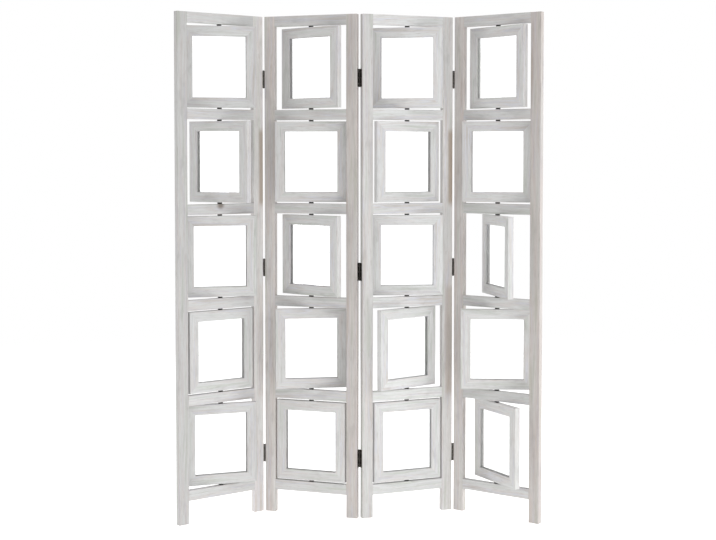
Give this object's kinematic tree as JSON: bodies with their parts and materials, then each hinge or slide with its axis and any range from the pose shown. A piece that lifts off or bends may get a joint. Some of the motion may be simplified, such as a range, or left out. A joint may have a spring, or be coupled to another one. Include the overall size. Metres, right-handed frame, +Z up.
{
  "type": "folding screen",
  "caption": "Zigzag folding screen of hinged whitewashed wooden leaves, each with a column of clear-paned picture frames that turn on vertical pivots between its rails.",
  "frame": {"origin": "on the floor, in the middle of the plan extent of the screen as it stands in the picture", "axes": "+X from leaf 1 (left in the picture) to leaf 4, +Y from the front to the back, +Z up"},
  "size_m": [1.215, 0.2496, 1.7],
  "materials": {
    "whitewashed_wood": "thin grey-white wash over light open-grained wood, matt",
    "clear_pane": "clear, polished on both sides",
    "dark_pivot_metal": "dark, satin",
    "dark_hinge_metal": "dark bronze, satin"
  },
  "bodies": {
    "leaf_2": {"stiles_2": "whitewashed_wood", "rails_2": "whitewashed_wood", "pivots_2": "dark_pivot_metal", "hinge_flaps_2": "dark_hinge_metal", "hinge_pins_2": "dark_hinge_metal"},
    "leaf_1": {"stiles_1": "whitewashed_wood", "rails_1": "whitewashed_wood", "pivots_1": "dark_pivot_metal", "hinge_flaps_1": "dark_hinge_metal"},
    "leaf_3": {"stiles_3": "whitewashed_wood", "rails_3": "whitewashed_wood", "pivots_3": "dark_pivot_metal", "hinge_flaps_3": "dark_hinge_metal", "hinge_pins_3": "dark_hinge_metal"},
    "leaf_4": {"stiles_4": "whitewashed_wood", "rails_4": "whitewashed_wood", "pivots_4": "dark_pivot_metal", "hinge_flaps_4": "dark_hinge_metal"},
    "frame_1_1": {"picture_frame_1_1": "whitewashed_wood", "panes_1_1": "clear_pane"},
    "frame_1_2": {"picture_frame_1_2": "whitewashed_wood", "panes_1_2": "clear_pane"},
    "frame_1_3": {"picture_frame_1_3": "whitewashed_wood", "panes_1_3": "clear_pane"},
    "frame_1_4": {"picture_frame_1_4": "whitewashed_wood", "panes_1_4": "clear_pane"},
    "frame_1_5": {"picture_frame_1_5": "whitewashed_wood", "panes_1_5": "clear_pane"},
    "frame_2_1": {"picture_frame_2_1": "whitewashed_wood", "panes_2_1": "clear_pane"},
    "frame_2_2": {"picture_frame_2_2": "whitewashed_wood", "panes_2_2": "clear_pane"},
    "frame_2_3": {"picture_frame_2_3": "whitewashed_wood", "panes_2_3": "clear_pane"},
    "frame_2_4": {"picture_frame_2_4": "whitewashed_wood", "panes_2_4": "clear_pane"},
    "frame_2_5": {"picture_frame_2_5": "whitewashed_wood", "panes_2_5": "clear_pane"},
    "frame_3_1": {"picture_frame_3_1": "whitewashed_wood", "panes_3_1": "clear_pane"},
    "frame_3_2": {"picture_frame_3_2": "whitewashed_wood", "panes_3_2": "clear_pane"},
    "frame_3_3": {"picture_frame_3_3": "whitewashed_wood", "panes_3_3": "clear_pane"},
    "frame_3_4": {"picture_frame_3_4": "whitewashed_wood", "panes_3_4": "clear_pane"},
    "frame_3_5": {"picture_frame_3_5": "whitewashed_wood", "panes_3_5": "clear_pane"},
    "frame_4_1": {"picture_frame_4_1": "whitewashed_wood", "panes_4_1": "clear_pane"},
    "frame_4_2": {"picture_frame_4_2": "whitewashed_wood", "panes_4_2": "clear_pane"},
    "frame_4_3": {"picture_frame_4_3": "whitewashed_wood", "panes_4_3": "clear_pane"},
    "frame_4_4": {"picture_frame_4_4": "whitewashed_wood", "panes_4_4": "clear_pane"},
    "frame_4_5": {"picture_frame_4_5": "whitewashed_wood", "panes_4_5": "clear_pane"}
  },
  "joints": [
    {"name": "leaf_1_fold", "type": "hinge", "parent": "leaf_2", "child": "leaf_1", "pos_m": [-0.3267, 0.07567, 0.85], "axis": [0, 0, 1], "range_deg": [-56, 78]},
    {"name": "leaf_3_fold", "type": "hinge", "parent": "leaf_2", "child": "leaf_3", "pos_m": [0.00094, -0.01282, 0.85], "axis": [0, 0, 1], "range_deg": [-41, 108]},
    {"name": "leaf_4_fold", "type": "hinge", "parent": "leaf_3", "child": "leaf_4", "pos_m": [0.3235, 0.0927, 0.85], "axis": [0, 0, -1], "range_deg": [-58, 86]},
    {"name": "frame_1_1_turn", "type": "hinge", "parent": "leaf_1", "child": "frame_1_1", "pos_m": [-0.46883, -0.01703, 1.52375], "axis": [0, 0, 1], "continuous": true},
    {"name": "frame_1_2_turn", "type": "hinge", "parent": "leaf_1", "child": "frame_1_2", "pos_m": [-0.46883, -0.01703, 1.20625], "axis": [0, 0, 1], "continuous": true},
    {"name": "frame_1_3_turn", "type": "hinge", "parent": "leaf_1", "child": "frame_1_3", "pos_m": [-0.46883, -0.01703, 0.88875], "axis": [0, 0, 1], "continuous": true},
    {"name": "frame_1_4_turn", "type": "hinge", "parent": "leaf_1", "child": "frame_1_4", "pos_m": [-0.46883, -0.01703, 0.57125], "axis": [0, 0, 1], "continuous": true},
    {"name": "frame_1_5_turn", "type": "hinge", "parent": "leaf_1", "child": "frame_1_5", "pos_m": [-0.46883, -0.01703, 0.25375], "axis": [0, 0, 1], "continuous": true},
    {"name": "frame_2_1_turn", "type": "hinge", "parent": "leaf_2", "child": "frame_2_1", "pos_m": [-0.16288, 0.03142, 1.52375], "axis": [0, 0, 1], "continuous": true},
    {"name": "frame_2_2_turn", "type": "hinge", "parent": "leaf_2", "child": "frame_2_2", "pos_m": [-0.16288, 0.03142, 1.20625], "axis": [0, 0, 1], "continuous": true},
    {"name": "frame_2_3_turn", "type": "hinge", "parent": "leaf_2", "child": "frame_2_3", "pos_m": [-0.16288, 0.03142, 0.88875], "axis": [0, 0, 1], "continuous": true},
    {"name": "frame_2_4_turn", "type": "hinge", "parent": "leaf_2", "child": "frame_2_4", "pos_m": [-0.16288, 0.03142, 0.57125], "axis": [0, 0, 1], "continuous": true},
    {"name": "frame_2_5_turn", "type": "hinge", "parent": "leaf_2", "child": "frame_2_5", "pos_m": [-0.16288, 0.03142, 0.25375], "axis": [0, 0, 1], "continuous": true},
    {"name": "frame_3_1_turn", "type": "hinge", "parent": "leaf_3", "child": "frame_3_1", "pos_m": [0.16222, 0.03994, 1.52375], "axis": [0, 0, 1], "continuous": true},
    {"name": "frame_3_2_turn", "type": "hinge", "parent": "leaf_3", "child": "frame_3_2", "pos_m": [0.16222, 0.03994, 1.20625], "axis": [0, 0, 1], "continuous": true},
    {"name": "frame_3_3_turn", "type": "hinge", "parent": "leaf_3", "child": "frame_3_3", "pos_m": [0.16222, 0.03994, 0.88875], "axis": [0, 0, 1], "continuous": true},
    {"name": "frame_3_4_turn", "type": "hinge", "parent": "leaf_3", "child": "frame_3_4", "pos_m": [0.16222, 0.03994, 0.57125], "axis": [0, 0, 1], "continuous": true},
    {"name": "frame_3_5_turn", "type": "hinge", "parent": "leaf_3", "child": "frame_3_5", "pos_m": [0.16222, 0.03994, 0.25375], "axis": [0, 0, 1], "continuous": true},
    {"name": "frame_4_1_turn", "type": "hinge", "parent": "leaf_4", "child": "frame_4_1", "pos_m": [0.46722, 0.00249, 1.52375], "axis": [0, 0, 1], "continuous": true},
    {"name": "frame_4_2_turn", "type": "hinge", "parent": "leaf_4", "child": "frame_4_2", "pos_m": [0.46722, 0.00249, 1.20625], "axis": [0, 0, 1], "continuous": true},
    {"name": "frame_4_3_turn", "type": "hinge", "parent": "leaf_4", "child": "frame_4_3", "pos_m": [0.46722, 0.00249, 0.88875], "axis": [0, 0, 1], "continuous": true},
    {"name": "frame_4_4_turn", "type": "hinge", "parent": "leaf_4", "child": "frame_4_4", "pos_m": [0.46722, 0.00249, 0.57125], "axis": [0, 0, 1], "continuous": true},
    {"name": "frame_4_5_turn", "type": "hinge", "parent": "leaf_4", "child": "frame_4_5", "pos_m": [0.46722, 0.00249, 0.25375], "axis": [0, 0, 1], "continuous": true}
  ]
}
